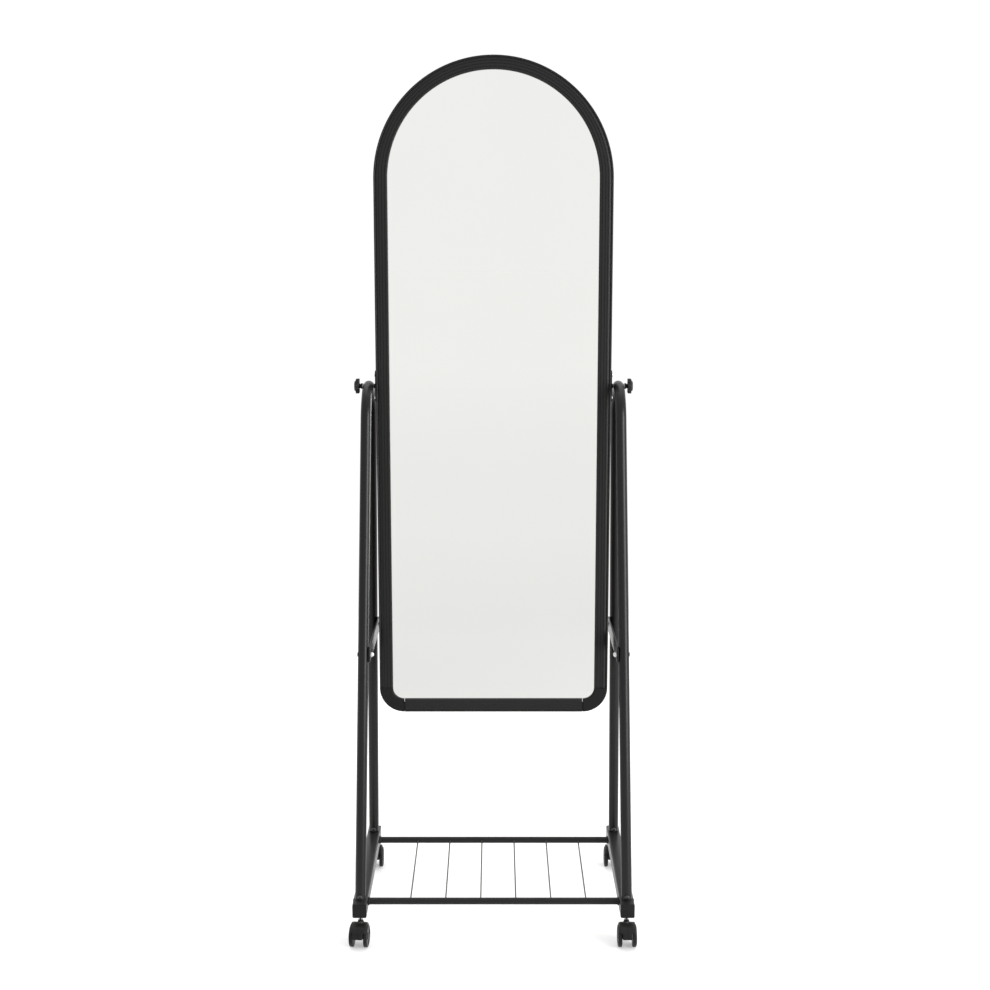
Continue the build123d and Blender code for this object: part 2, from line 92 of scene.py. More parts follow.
# ---- sizes and places, in metres, from the frame ----
arch_low, arch_high = corners("mirror_frame_arch")
rail_low, rail_high = corners("frame_bottom_rail")
sill_low, sill_high = corners("sill_right")
leg_low, leg_high = corners("leg_arch_right")
half_frame = arch_high.x
frame_back = arch_high.y
frame_bottom = rail_low.z
joint_height, joint_x = arch_low.z, rail_high.x
arch_centre = arch_high.z - half_frame
pivot_height = joints["mirror_tilt"]["pos_m"][2]
tube_radius = leg_high.z - pivot_height
pivot_x = leg_low.x + tube_radius
foot_x = (sill_low.x + sill_high.x) / 2
foot_depth = leg_high.y - 1.007 * tube_radius
sill_top = leg_low.z
sill_bottom = sill_low.z
top_bend = 60 * MM
corner_radius = half_frame - joint_x - 1 * MM


# ================= materials =================
def new_group(kind, name, inputs, outputs):
    """An empty node group with named sockets, some preset, and its two end nodes."""
    group = bpy.data.node_groups.new(name, kind)
    for label, socket_kind, *preset in inputs:
        socket = group.interface.new_socket(label, in_out="INPUT", socket_type=socket_kind)
        if preset:
            socket.default_value = preset[0]
    for label, socket_kind in outputs:
        group.interface.new_socket(label, in_out="OUTPUT", socket_type=socket_kind)
    return group, group.nodes.new("NodeGroupInput"), group.nodes.new("NodeGroupOutput")


def put(tree, socket, value):
    """Gives a socket its value, or links it to the socket that makes it."""
    if isinstance(value, bpy.types.NodeSocket):
        tree.links.new(value, socket)
    else:
        socket.default_value = value


def feed(tree, node, **values):
    """Sets or links a node's inputs by name; underscores stand for spaces."""
    for label, value in values.items():
        put(tree, node.inputs[label.replace("_", " ")], value)
    return node


def noise(group, vector, scale, detail=3.0, roughness=0.55):
    """A noise texture on the given vector; scale is a number or a socket."""
    node = group.nodes.new("ShaderNodeTexNoise")
    feed(group, node, Detail=detail, Roughness=roughness, Vector=vector, Scale=scale)
    return node.outputs["Fac"]


def math_node(group, operation, first, second, third=0.0, clamp=False):
    """One arithmetic node; each input is a socket or a number."""
    node = group.nodes.new("ShaderNodeMath")
    node.operation = operation
    node.use_clamp = clamp
    for socket, value in zip(node.inputs, (first, second, third)):
        put(group, socket, value)
    return node.outputs[0]


def mix_colours(group, factor, first, second):
    """A colour mix; every argument is a socket or a value."""
    node = group.nodes.new("ShaderNodeMix")
    node.data_type = "RGBA"
    for index, value in ((0, factor), (6, first), (7, second)):
        put(group, node.inputs[index], value)
    return node.outputs[2]


def bumped(group, **values):
    """The normal of a bump node with the given inputs."""
    return feed(group, group.nodes.new("ShaderNodeBump"), **values).outputs["Normal"]


def build_coat_surface():
    """Sprayed or moulded skin: cloudy tone, fine pimples and a drift in the gloss."""
    group, given, result = new_group(
        "ShaderNodeTree", "coat_surface",
        [
            ("Colour", "NodeSocketColor", (0.02, 0.02, 0.02, 1)),
            ("Cloud", "NodeSocketFloat", 0.2),
            ("Gloss", "NodeSocketFloat", 0.4),
            ("Gloss Drift", "NodeSocketFloat", 0.06),
            ("Grain Scale", "NodeSocketFloat", 1400.0),
            ("Grain Height", "NodeSocketFloat", 0.00003),
        ],
        [("Colour", "NodeSocketColor"), ("Roughness", "NodeSocketFloat"), ("Normal", "NodeSocketVector")],
    )
    place = group.nodes.new("ShaderNodeTexCoord").outputs["Object"]
    cloud = math_node(group, "SUBTRACT", noise(group, place, 14.0), 0.5)
    speck = noise(group, place, 260.0, detail=4.0)
    tone = math_node(group, "MULTIPLY_ADD", cloud, given.outputs["Cloud"], 1.0)
    gain = group.nodes.new("ShaderNodeVectorMath")
    gain.operation = "SCALE"
    feed(group, gain, Vector=given.outputs["Colour"], Scale=tone)
    drift = math_node(group, "SUBTRACT", math_node(group, "ADD", cloud, speck), 0.5)
    drift = math_node(group, "MULTIPLY", drift, given.outputs["Gloss Drift"])
    rough = math_node(group, "ADD", given.outputs["Gloss"], drift, clamp=True)
    grain = noise(group, place, given.outputs["Grain Scale"], detail=2.0)
    normal = bumped(group, Strength=0.6, Distance=given.outputs["Grain Height"], Height=grain)
    feed(group, result, Colour=gain.outputs["Vector"], Roughness=rough, Normal=normal)
    return group


def build_settled_dust():
    """A thin film of dust on surfaces that face up."""
    group, given, result = new_group(
        "ShaderNodeTree", "settled_dust",
        [
            ("Colour", "NodeSocketColor", (0.02, 0.02, 0.02, 1)),
            ("Roughness", "NodeSocketFloat", 0.4),
            ("Amount", "NodeSocketFloat", 0.1),
        ],
        [("Colour", "NodeSocketColor"), ("Roughness", "NodeSocketFloat")],
    )
    geometry = group.nodes.new("ShaderNodeNewGeometry")
    split = group.nodes.new("ShaderNodeSeparateXYZ")
    group.links.new(geometry.outputs["Normal"], split.inputs[0])
    place = group.nodes.new("ShaderNodeTexCoord").outputs["Object"]
    up = math_node(group, "SUBTRACT", split.outputs["Z"], 0.45)
    up = math_node(group, "MULTIPLY", up, 1.8, clamp=True)
    patchy = math_node(group, "MULTIPLY", up, noise(group, place, 60.0, detail=5.0))
    cover = math_node(group, "MULTIPLY", patchy, given.outputs["Amount"], clamp=True)
    colour = mix_colours(group, cover, given.outputs["Colour"], (0.30, 0.29, 0.27, 1.0))
    rough = math_node(group, "ADD", given.outputs["Roughness"], cover, clamp=True)
    feed(group, result, Colour=colour, Roughness=rough)
    return group


def build_draw_lines():
    """Fine lines left along an extruded profile, following the piece's own run map."""
    group, given, result = new_group(
        "ShaderNodeTree", "draw_lines",
        [
            ("Lines Per Metre", "NodeSocketFloat", 2600.0),
            ("Depth", "NodeSocketFloat", 0.00003),
            ("Normal", "NodeSocketVector", (0, 0, 0)),
        ],
        [("Normal", "NodeSocketVector")],
    )
    run_map = group.nodes.new("ShaderNodeUVMap")
    run_map.uv_map = "run"
    stretch = group.nodes.new("ShaderNodeVectorMath")
    stretch.operation = "MULTIPLY"
    stretch.inputs[1].default_value = (0.012, 1.0, 0.0)
    group.links.new(run_map.outputs["UV"], stretch.inputs[0])
    lines = noise(group, stretch.outputs["Vector"], given.outputs["Lines Per Metre"], detail=2.0)
    feed(group, result, Normal=bumped(
        group, Strength=0.5, Distance=given.outputs["Depth"], Height=lines, Normal=given.outputs["Normal"]))
    return group


coat_surface = build_coat_surface()
settled_dust = build_settled_dust()
draw_lines = build_draw_lines()


def place_group(material, group, **values):
    """Puts a node group into a material, with its inputs."""
    node = material.node_tree.nodes.new("ShaderNodeGroup")
    node.node_tree = group
    return feed(material.node_tree, node, **values)


def new_material(name, metallic=0.0, specular=0.5):
    """A material with its Principled shader, and constants set on the shader's own sockets."""
    material = bpy.data.materials.new(name)
    material.use_nodes = True
    shader = material.node_tree.nodes["Principled BSDF"]
    return material, feed(material.node_tree, shader, Metallic=metallic, Specular_IOR_Level=specular)


def coated(name, colour, gloss, drift, grain_scale, grain_height, dust=0.1, cloud=0.25, **shader_values):
    """A coated or moulded finish with settled dust, on Object coordinates."""
    material, shader = new_material(name, **shader_values)
    skin = place_group(
        material, coat_surface,
        Colour=(*colour, 1), Cloud=cloud, Gloss=gloss, Gloss_Drift=drift,
        Grain_Scale=grain_scale, Grain_Height=grain_height,
    ).outputs
    film = place_group(material, settled_dust, Amount=dust, Colour=skin["Colour"],
                       Roughness=skin["Roughness"]).outputs
    feed(material.node_tree, shader, Base_Color=film["Colour"], Roughness=film["Roughness"],
         Normal=skin["Normal"])
    return material


def profile_finish():
    """Satin black on the extruded frame: coat grain with fine lines along its run."""
    material = coated("frame_profile_black", (0.008, 0.008, 0.008), 0.42, 0.05, 1800.0, 0.00002,
                      dust=0.05, specular=0.23)
    nodes = material.node_tree.nodes
    skin = next(node for node in nodes if getattr(node, "node_tree", None) == coat_surface)
    lines = place_group(material, draw_lines, Lines_Per_Metre=2600.0, Depth=0.00004,
                        Normal=skin.outputs["Normal"])
    feed(material.node_tree, nodes["Principled BSDF"], Normal=lines.outputs["Normal"])
    return material


def hardboard_finish():
    """Smooth side of brown hardboard: matted fibres and darker flecks."""
    material, shader = new_material("hardboard_back", specular=0.25)
    tree = material.node_tree
    place = tree.nodes.new("ShaderNodeTexCoord").outputs["Object"]
    squeeze = tree.nodes.new("ShaderNodeMapping")
    feed(tree, squeeze, Scale=(1.0, 1.0, 0.35), Vector=place)
    fibres = noise(tree, squeeze.outputs["Vector"], 420.0, detail=8.0, roughness=0.7)
    clouds = noise(tree, place, 7.0, detail=4.0)
    shade = math_node(tree, "MULTIPLY", math_node(tree, "ADD", fibres, clouds), 0.5)
    colour = mix_colours(tree, shade, (0.085, 0.045, 0.020, 1.0), (0.27, 0.165, 0.085, 1.0))
    rough = math_node(tree, "MULTIPLY_ADD", fibres, 0.25, 0.5)
    normal = bumped(tree, Strength=0.5, Distance=0.0001, Height=fibres)
    feed(tree, shader, Base_Color=colour, Roughness=rough, Normal=normal)
    return material


def silvered_glass_finish():
    """Silver seen through float glass: a faint green tone and a hint of cloudiness."""
    material, shader = new_material("silvered_glass", metallic=1.0)
    tree = material.node_tree
    place = tree.nodes.new("ShaderNodeTexCoord").outputs["Object"]
    haze = noise(tree, place, 5.0, detail=2.0)
    colour = mix_colours(tree, haze, (0.875, 0.880, 0.862, 1.0), (0.890, 0.893, 0.876, 1.0))
    smears = math_node(tree, "MULTIPLY", noise(tree, place, 30.0, detail=6.0), 0.012)
    feed(tree, shader, Base_Color=colour, Roughness=smears)
    return material


frame_black = profile_finish()
hardboard = hardboard_finish()
silvered_glass = silvered_glass_finish()
# name, colour, gloss, drift of the gloss, grains per metre, grain height, dust, specular
tube_black, moulded_black, knob_black, caster_black, wire_coat, bolt_black = (
    coated(name, colour, gloss, drift, grains, height, dust=dust, specular=specular)
    for name, colour, gloss, drift, grains, height, dust, specular in (
        ("tube_powder_coat", (0.0065, 0.0065, 0.0068), 0.30, 0.08, 1500.0, 0.00004, 0.06, 0.22),
        ("moulded_black", (0.005, 0.0052, 0.005), 0.5, 0.08, 2600.0, 0.00006, 0.03, 0.16),
        ("knob_black", (0.008, 0.008, 0.008), 0.42, 0.08, 2200.0, 0.00006, 0.04, 0.22),
        ("caster_black", (0.006, 0.0064, 0.006), 0.38, 0.1, 1600.0, 0.00005, 0.05, 0.18),
        ("wire_powder_coat", (0.010, 0.010, 0.010), 0.28, 0.08, 1500.0, 0.00003, 0.1, 0.3),
        ("bolt_black_oxide", (0.012, 0.012, 0.013), 0.35, 0.1, 1800.0, 0.00003, 0.1, 0.5),
    )
)
# name, colour, gloss, drift of the gloss, grains per metre, grain height, cloudiness
zinc, dull_zinc, bright_steel = (
    coated(name, colour, gloss, drift, grains, height, dust=0.05, cloud=cloud, metallic=1.0)
    for name, colour, gloss, drift, grains, height, cloud in (
        ("bright_zinc", (0.62, 0.62, 0.63), 0.26, 0.16, 900.0, 0.00002, 0.35),
        ("dull_zinc", (0.07, 0.07, 0.073), 0.42, 0.12, 900.0, 0.00002, 0.35),
        ("bright_steel", (0.66, 0.66, 0.67), 0.16, 0.1, 1200.0, 0.00001, 0.25),
    )
)


# ================= making meshes =================
def rounded_rectangle(width, height, radius, steps=6):
    """Outline of a rectangle with round corners, about the origin."""
    outline = []
    for quarter, (sign_x, sign_y) in enumerate(((1, 1), (-1, 1), (-1, -1), (1, -1))):
        for step in range(steps + 1):
            angle = (quarter + step / steps) * TURN / 4
            outline.append((
                sign_x * (width / 2 - radius) + radius * math.cos(angle),
                sign_y * (height / 2 - radius) + radius * math.sin(angle),
            ))
    return outline


def shrunk(outline, amount):
    """An outline moved inwards by an amount, point by point."""
    count = len(outline)
    moved = []
    for index, (x, y) in enumerate(outline):
        before, after = Vector(outline[index - 1]), Vector(outline[(index + 1) % count])
        run = (after - before).normalized()
        moved.append((x - run.y * amount, y + run.x * amount))
    return moved


class Skin:
    """Collects the closed skins of one piece, which chain, then makes its object."""

    def __init__(self):
        self.points, self.faces, self.runs = [], [], []

    def loft(self, rings, place=Matrix()):
        """A closed skin over rings that all have the same number of points."""
        base, count = len(self.points), len(rings[0])
        rings = [[Vector(point) for point in ring] for ring in rings]
        around = [0.0]
        for index in range(count):
            around.append(around[-1] + (rings[0][index] - rings[0][(index + 1) % count]).length)
        along = 0.0
        for row, ring in enumerate(rings):
            self.points += [place @ point for point in ring]
            if row == 0:
                continue
            step = max((a - b).length for a, b in zip(ring, rings[row - 1]))
            for index in range(count):
                following = (index + 1) % count
                lower, upper = base + (row - 1) * count, base + row * count
                self.faces.append((lower + index, lower + following, upper + following, upper + index))
                edge, next_edge = around[index], around[index + 1]
                self.runs.append((
                    (along, edge), (along, next_edge), (along + step, next_edge), (along + step, edge)
                ))
            along += step
        for start in (base, base + (len(rings) - 1) * count):
            self.faces.append(tuple(range(start, start + count)))
            self.runs.append(tuple((point[0], point[1]) for point in rings[0]))
        return self

    def lathe(self, profile, place, steps=48):
        """A skin turned about local Z from (radius, rise) pairs in millimetres."""
        rings = []
        for radius, rise in profile:
            radius = max(radius, 0.0001) * MM
            rings.append([
                (radius * math.cos(angle), radius * math.sin(angle), rise * MM)
                for angle in (TURN * step / steps for step in range(steps))
            ])
        return self.loft(rings, place)

    def plate(self, outline, low, high, rounding, place, steps=3):
        """An outline thickened from low to high along local Z, with rounded rims."""
        rings = []
        for step in range(steps + 1):
            angle = TURN / 4 * step / steps
            inset = shrunk(outline, rounding * (1 - math.sin(angle)))
            rings.append([(x, y, low + rounding * (1 - math.cos(angle))) for x, y in inset])
        for step in range(steps + 1):
            angle = TURN / 4 * (1 - step / steps)
            inset = shrunk(outline, rounding * (1 - math.sin(angle)))
            rings.append([(x, y, high - rounding * (1 - math.cos(angle))) for x, y in inset])
        return self.loft(rings, place)

    def mesh(self, name):
        """The collected skins as one mesh, with its run map and outward faces."""
        mesh = bpy.data.meshes.new(name)
        mesh.from_pydata(self.points, [], self.faces)
        run_map = mesh.uv_layers.new(name="run")
        corners_in_order = [pair for face in self.runs for pair in face]
        for loop, pair in zip(run_map.data, corners_in_order):
            loop.uv = pair
        return clean(mesh)

    def piece(self, name, material, body, *nodes):
        """Makes the object, which rides on a body and stands for its CAD nodes."""
        return piece_from(self.mesh(name), name, material, body, *nodes)


def clean(mesh, merge=True):
    """Merges doubles, turns the faces outwards and shades smooth up to a sharp angle."""
    work = bmesh.new()
    work.from_mesh(mesh)
    if merge:
        bmesh.ops.remove_doubles(work, verts=work.verts, dist=2e-6)
    bmesh.ops.recalc_face_normals(work, faces=work.faces)
    work.to_mesh(mesh)
    work.free()
    mesh.polygons.foreach_set("use_smooth", [True] * len(mesh.polygons))
    mesh.set_sharp_from_angle(angle=math.radians(38))
    return mesh


def piece_from(mesh, name, material, body, *nodes):
    """An object at the origin for a finished mesh."""
    mesh.materials.clear()
    mesh.materials.append(material)
    piece = in_scene(name, mesh)
    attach(piece, body)
    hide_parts(*nodes)
    return piece


def facing(origin, direction, spin=0.0):
    """A place whose local Z points along a direction."""
    turn = Vector(direction).to_track_quat("Z", "Y").to_matrix().to_4x4()
    return Matrix.Translation(Vector(origin)) @ turn @ Matrix.Rotation(spin, 4, "Z")


# ================= geometry node trees =================
shape = ("Geometry", "NodeSocketGeometry")


def end_tree(tree, geometry, given, result):
    """Realises the instances, shades smooth and sets the material."""
    real = tree.nodes.new("GeometryNodeRealizeInstances")
    smooth = tree.nodes.new("GeometryNodeSetShadeSmooth")
    painted = tree.nodes.new("GeometryNodeSetMaterial")
    feed(tree, real, Geometry=geometry)
    feed(tree, smooth, Geometry=real.outputs["Geometry"])
    feed(tree, painted, Geometry=smooth.outputs["Geometry"], Material=given.outputs["Material"])
    feed(tree, result, Geometry=painted.outputs["Geometry"])
    return tree


def build_tube_tree():
    """A round tube along each spline of the curve that carries the tree."""
    tree, given, result = new_group(
        "GeometryNodeTree", "tube_along_path",
        [shape, ("Radius", "NodeSocketFloat"), ("Sides", "NodeSocketInt"),
         ("Material", "NodeSocketMaterial")], [shape],
    )
    ring = tree.nodes.new("GeometryNodeCurvePrimitiveCircle")
    sweep = tree.nodes.new("GeometryNodeCurveToMesh")
    feed(tree, ring, Radius=given.outputs["Radius"], Resolution=given.outputs["Sides"])
    feed(tree, sweep, Curve=given.outputs["Geometry"], Profile_Curve=ring.outputs["Curve"], Fill_Caps=True)
    return end_tree(tree, sweep.outputs["Mesh"], given, result)


def build_seat_tree():
    """One copy of a fastener on every seat point, facing along the seat's own direction."""
    tree, given, result = new_group(
        "GeometryNodeTree", "fasteners_on_seats",
        [shape, ("Fastener", "NodeSocketObject"), ("Material", "NodeSocketMaterial")], [shape],
    )
    fastener = tree.nodes.new("GeometryNodeObjectInfo")
    direction = tree.nodes.new("GeometryNodeInputNamedAttribute")
    direction.data_type = "FLOAT_VECTOR"
    feed(tree, direction, Name="facing")
    turn = tree.nodes.new("FunctionNodeAlignRotationToVector")
    turn.axis = "Z"
    copies = tree.nodes.new("GeometryNodeInstanceOnPoints")
    feed(tree, fastener, Object=given.outputs["Fastener"])
    feed(tree, turn, Vector=direction.outputs["Attribute"])
    feed(tree, copies, Points=given.outputs["Geometry"], Instance=fastener.outputs["Geometry"],
         Rotation=turn.outputs["Rotation"])
    return end_tree(tree, copies.outputs["Instances"], given, result)


tube_tree = build_tube_tree()
seat_tree = build_seat_tree()


def grown(name, carrier_data, tree, values):
    """The plain mesh that a tree makes on a carrier, which is then removed."""
    carrier = in_scene(name + "_carrier", carrier_data)
    modifier = carrier.modifiers.new("tree", "NODES")
    modifier.node_group = tree
    for item in tree.interface.items_tree:
        if item.item_type == "SOCKET" and item.in_out == "INPUT" and item.name in values:
            modifier[item.identifier] = values[item.name]
    bpy.context.view_layer.update()
    evaluated = carrier.evaluated_get(bpy.context.evaluated_depsgraph_get())
    mesh = bpy.data.meshes.new_from_object(evaluated)
    bpy.data.objects.remove(carrier)
    mesh.name = name
    return clean(mesh)


def tube_mesh(name, splines, radius, material, sides=40, resolution=24):
    """Round tubes along Bezier splines, each a list of (point, handle before, handle after)."""
    path = bpy.data.curves.new(name, "CURVE")
    path.dimensions = "3D"
    for knots in splines:
        spline = path.splines.new("BEZIER")
        spline.bezier_points.add(len(knots) - 1)
        spline.resolution_u = resolution
        for target, (point, before, after) in zip(spline.bezier_points, knots):
            target.co, target.handle_left, target.handle_right = point, before, after
    return grown(name, path, tube_tree, {"Radius": radius, "Sides": sides, "Material": material})


def straight_knots(start, end, sag=Vector()):
    """Bezier knots of one nearly straight run, bowed by a sag at its middle."""
    start, end = Vector(start), Vector(end)
    third = (end - start) / 3
    lift = sag * 4 / 3
    return [(start, start - third, start + third + lift), (end, end - third + lift, end + third)]


def copied(name, seats, fastener, material):
    """One mesh with a copy of a fastener mesh on every seat, given as (point, direction)."""
    points = bpy.data.meshes.new(name)
    points.from_pydata([point for point, direction in seats], [], [])
    direction = points.attributes.new("facing", "FLOAT_VECTOR", "POINT")
    for entry, (point, towards) in zip(direction.data, seats):
        entry.vector = towards
    pattern = in_scene(name + "_pattern", fastener)
    mesh = grown(name, points, seat_tree, {"Fastener": pattern, "Material": material})
    bpy.data.objects.remove(pattern)
    return mesh


def fastened(name, seats, fastener, material, body, *nodes):
    """The piece made of copies of one fastener on its seats."""
    return piece_from(copied(name, seats, fastener, material), name, material, body, *nodes)


def clock_ring(shape, size, rise, width=0.0, steps=48):
    """A ring at a rise above the seat: a circle, a hexagon by its flats or a cross by its reach."""
    ring = []
    for step in range(steps):
        angle = TURN * step / steps
        if shape == "hexagon":
            radius = size / math.cos((angle + TURN / 12) % (TURN / 6) - TURN / 12)
        elif shape == "cross":
            off = (angle + TURN / 8) % (TURN / 4) - TURN / 8
            radius = min(size / math.cos(off), width / max(math.sin(abs(off)), 1e-6))
        else:
            radius = size
        ring.append((radius * math.cos(angle) * MM, radius * math.sin(angle) * MM, rise * MM))
    return ring


def screw_head(name, radius, height, recess):
    """A domed head with a hexagon socket or a cross recess, in millimetres, standing on its seat."""
    skin = Skin()
    rings = [clock_ring("circle", radius - 0.15, 0.0), clock_ring("circle", radius, 0.2)]
    flank = 0.35 * height
    for step in range(6):
        angle = TURN / 4 * step / 6
        rings.append(clock_ring(
            "circle", radius * (0.55 + 0.45 * math.cos(angle)), flank + (height - flank) * math.sin(angle)
        ))
    rings.append(clock_ring("circle", radius * 0.55, height))
    if recess == "hexagon":
        reach, width = radius * 0.33, 0.0
    else:
        reach, width = radius * 0.48, radius * 0.13
    rings.append(clock_ring(recess, reach + 0.08, height, width + 0.05))
    rings.append(clock_ring(recess, reach, height - 0.12, width))
    rings.append(clock_ring(recess, reach * 0.86, height * 0.42, width * 0.8))
    skin.loft(rings)
    return skin.mesh(name)


# ================= mirror frame =================
# Section of the frame extrusion in millimetres: distance in from the outer edge, then depth.
outer_bead = [(0.0, 8.6), (0.0, -7.7), (0.2, -8.8), (0.75, -9.6), (1.55, -10.0), (2.3, -9.95), (2.95, -9.5),
              (3.3, -8.9), (3.6, -8.45), (4.3, -8.45), (4.6, -8.9), (4.9, -9.5), (5.5, -9.85)]
ribbed_face = []
for line in (9.2, 14.2, 19.6):
    ribbed_face += [(line - 0.7, -10.0), (line - 0.3, -9.35), (line + 0.3, -9.35), (line + 0.7, -10.0)]
inner_lip = [(23.4, -9.95), (24.1, -9.65), (24.45, -9.0), (24.5, -8.3), (24.5, -6.05), (17.5, -6.05),
             (17.5, 0.4), (24.5, 0.4), (24.5, 8.8), (24.2, 9.6), (23.4, 10.0)]
flat_back = [(1.4, 10.0), (0.4, 9.6)]
profile_section = outer_bead + ribbed_face + inner_lip + flat_back
plain_section = [(0.0, 8.4), (0.0, -7.0), (0.3, -8.3), (1.1, -9.3), (2.2, -9.9), (3.4, -10.0), (21.8, -10.0),
                 (23.2, -9.8), (24.1, -9.2), (24.5, -8.2), (24.5, -6.05), (17.5, -6.05), (17.5, 0.4),
                 (24.5, 0.4), (24.5, 8.4), (24.0, 9.5), (22.9, 10.0), (1.6, 10.0), (0.5, 9.5)]
joint_gap = 0.25 * MM
lip_root = 17.3
notch_width = 1.3 * MM
end_bevel = 0.35


def trimmed(section, amount):
    """A frame section pulled in all round, for the bevel at a sawn or moulded end."""
    area = sum(a[0] * b[1] - b[0] * a[1] for a, b in zip(section, section[1:] + section[:1]))
    return shrunk(section, amount if area > 0 else -amount)


def notched(section):
    """A frame section without its front lip, so that the pane shows at a joint."""
    return [(min(inset, lip_root) if depth < -6 else inset, depth) for inset, depth in section]


def along_outline(section, stations, notch_from=None):
    """Rings of a frame section at (point on the outer edge, direction inwards) stations in X and Z."""
    rings = []
    for index, (edge, inwards) in enumerate(stations):
        ends = index in (0, len(stations) - 1)
        ring = []
        shape = notched(section) if notch_from is not None and index >= notch_from else section
        for inset, depth in (trimmed(shape, end_bevel) if ends and notch_from is None else shape):
            ring.append((edge[0] + inwards[0] * inset * MM, depth * MM, edge[1] + inwards[1] * inset * MM))
        rings.append(ring)
    return rings


def side_run(side, low, high, parts):
    """Stations up one straight side of the frame."""
    heights = [low, low + end_bevel * MM] + [low + (high - low) * step / parts for step in range(1, parts)]
    return [((side * half_frame, height), (-side, 0)) for height in heights]


arch_stations = side_run(-1, joint_height + joint_gap, arch_centre, 10)
for step in range(121):
    angle = TURN / 2 * (1 - step / 120)
    out = (math.cos(angle), math.sin(angle))
    arch_stations.append(((half_frame * out[0], arch_centre + half_frame * out[1]), (-out[0], -out[1])))
arch_stations += reversed(side_run(1, joint_height + joint_gap, arch_centre, 10))
Skin().loft(along_outline(profile_section, arch_stations)).piece(
    "frame_arch", frame_black, "mirror", "mirror_frame_arch")

rail_half = joint_x - joint_gap
rail_stops = [-rail_half, -rail_half + end_bevel * MM]
rail_stops += [rail_half * step / 4 for step in range(-3, 4)] + [rail_half - end_bevel * MM, rail_half]
rail_stations = [((x, frame_bottom), (0, 1)) for x in rail_stops]
Skin().loft(along_outline(profile_section, rail_stations)).piece(
    "frame_rail", frame_black, "mirror", "frame_bottom_rail")

for side, side_name in ((-1, "left"), (1, "right")):
    corner_x, corner_z = side * (half_frame - corner_radius), frame_bottom + corner_radius
    elbow = [((side * half_frame, joint_height - joint_gap), (-side, 0)),
             ((side * half_frame, joint_height - joint_gap - end_bevel * MM), (-side, 0))]
    for step in range(25):
        angle = TURN / 4 * step / 24
        out = (side * math.cos(angle), -math.sin(angle))
        elbow.append(((corner_x + corner_radius * out[0], corner_z + corner_radius * out[1]),
                      (-out[0], -out[1])))
    notch_start = len(elbow)
    for reach in (notch_width, notch_width - 0.02 * MM, 0):
        elbow.append(((side * (joint_x + joint_gap + reach), frame_bottom), (0, 1)))
    Skin().loft(along_outline(plain_section, elbow, notch_start + 1)).piece(
        f"corner_{side_name}", moulded_black, "mirror", f"corner_connector_{side_name}")

pan_head = screw_head("pan_head", 3.4, 1.8, "cross")
corner_seats = [
    (Vector(((low.x + high.x) / 2, frame_back, (low.z + high.z) / 2)), (0, 1, 0))
    for low, high in solid_boxes("corner_screws")
]
fastened("corner_screw_heads", corner_seats, pan_head, zinc, "mirror", "corner_screws")

